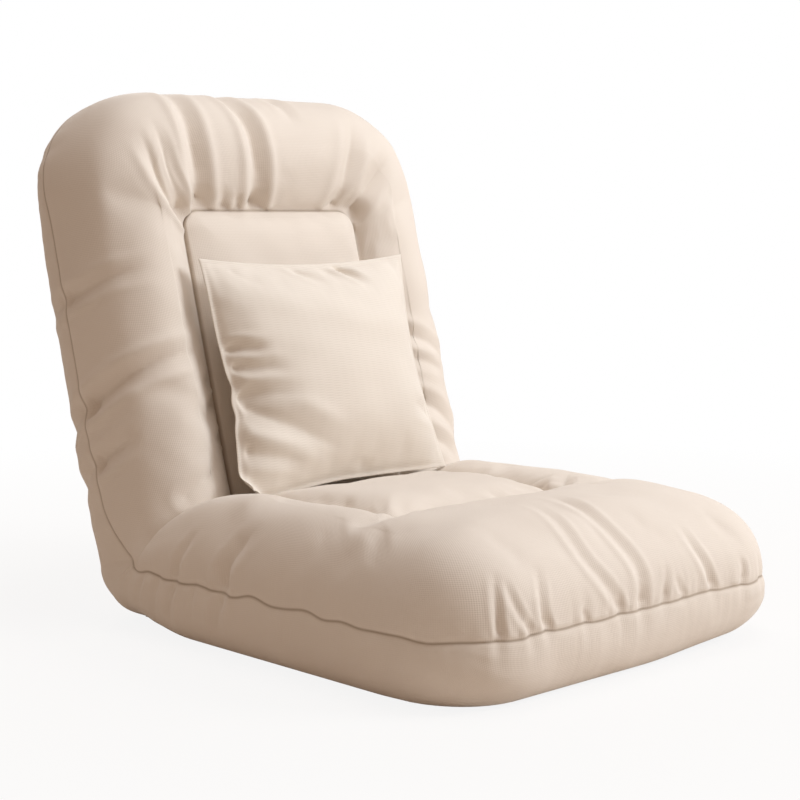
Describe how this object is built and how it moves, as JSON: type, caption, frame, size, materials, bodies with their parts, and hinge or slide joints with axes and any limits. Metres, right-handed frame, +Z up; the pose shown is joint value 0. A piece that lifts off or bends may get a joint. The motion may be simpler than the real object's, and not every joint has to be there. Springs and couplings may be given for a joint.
{
  "type": "floor chair",
  "caption": "Low padded floor chair with a seat and a backrest on ratchet hinges, thick quilted rolls round a recessed centre panel, and a loose square pillow.",
  "frame": {"origin": "on the floor, at the middle of the chair's box", "axes": "+Z up; -Y is the way the sitter faces; +X is the sitter's left"},
  "size_m": [0.66, 0.9368, 0.7575],
  "materials": {
    "cover_cloth": "matt woven polyester",
    "pillow_cloth": "matt ribbed polyester",
    "grip_cloth": "dotted non-slip cloth",
    "foam": "open-cell foam",
    "sling_cloth": "pressed felt",
    "painted_steel": "powder coat",
    "zinc_steel": "zinc plated",
    "zip_tape": "woven tape"
  },
  "bodies": {
    "seat": {"seat_bolster": "cover_cloth", "seat_centre_pad": "cover_cloth", "seat_foam_upper": "foam", "seat_foam_lower": "foam", "seat_sling": "sling_cloth", "seat_lower_cover": "cover_cloth", "seat_base_cloth": "grip_cloth", "rear_corner_fill": "cover_cloth", "seat_frame_hoop": "painted_steel", "seat_cross_bar_1": "painted_steel", "seat_cross_bar_2": "painted_steel", "seat_ratchet_left": "zinc_steel", "seat_ratchet_right": "zinc_steel"},
    "back": {"back_bolster": "cover_cloth", "back_centre_panel": "cover_cloth", "back_foam_front": "foam", "back_foam_rear": "foam", "back_sling": "sling_cloth", "back_rear_cover": "cover_cloth", "back_frame_hoop": "painted_steel", "back_cross_bar_1": "painted_steel", "back_cross_bar_2": "painted_steel", "zip_tape": "zip_tape", "back_inner_cheek_left": "zinc_steel", "back_outer_cheek_left": "zinc_steel", "pivot_rivet_left": "zinc_steel", "pawl_pin_left": "zinc_steel", "cheek_spacer_left": "zinc_steel", "pawl_spring_left": "zinc_steel", "back_inner_cheek_right": "zinc_steel", "back_outer_cheek_right": "zinc_steel", "pivot_rivet_right": "zinc_steel", "pawl_pin_right": "zinc_steel", "cheek_spacer_right": "zinc_steel", "pawl_spring_right": "zinc_steel"},
    "pillow": {"pillow": "pillow_cloth"},
    "pawl_left": {"pawl_left": "zinc_steel"},
    "pawl_right": {"pawl_right": "zinc_steel"},
    "zip_slider": {"zip_slider": "zinc_steel"},
    "zip_pull": {"zip_pull": "zinc_steel"}
  },
  "joints": [
    {"name": "backrest", "type": "hinge", "parent": "seat", "child": "back", "pos_m": [0, 0.22161, 0.088], "axis": [-1, 0, 0], "range_deg": [-75.6, 74.4], "deforming": ["seat_bolster", "seat_centre_pad", "back_bolster", "back_centre_panel", "rear_corner_fill", "pillow"]},
    {"name": "pillow_lift", "type": "slide", "parent": "back", "child": "pillow", "axis": [0, 0, 1], "range_m": [0, 0.5]},
    {"name": "pawl_rock_left", "type": "hinge", "parent": "back", "child": "pawl_left", "pos_m": [0, 0.23506, 0.13616], "axis": [1, 0, 0], "range_deg": [0, 6], "stiffness_Nm_per_rad": 0.05},
    {"name": "pawl_rock_right", "type": "hinge", "parent": "back", "child": "pawl_right", "pos_m": [0, 0.23506, 0.13616], "axis": [1, 0, 0], "range_deg": [0, 6], "stiffness_Nm_per_rad": 0.05},
    {"name": "zip_slide", "type": "slide", "parent": "back", "child": "zip_slider", "axis": [-1, 0, 0], "range_m": [0, 0.42]},
    {"name": "zip_pull_swing", "type": "hinge", "parent": "zip_slider", "child": "zip_pull", "pos_m": [0.21, 0.38383, 0.34847], "axis": [1, 0, 0], "range_deg": [0, 120]}
  ]
}
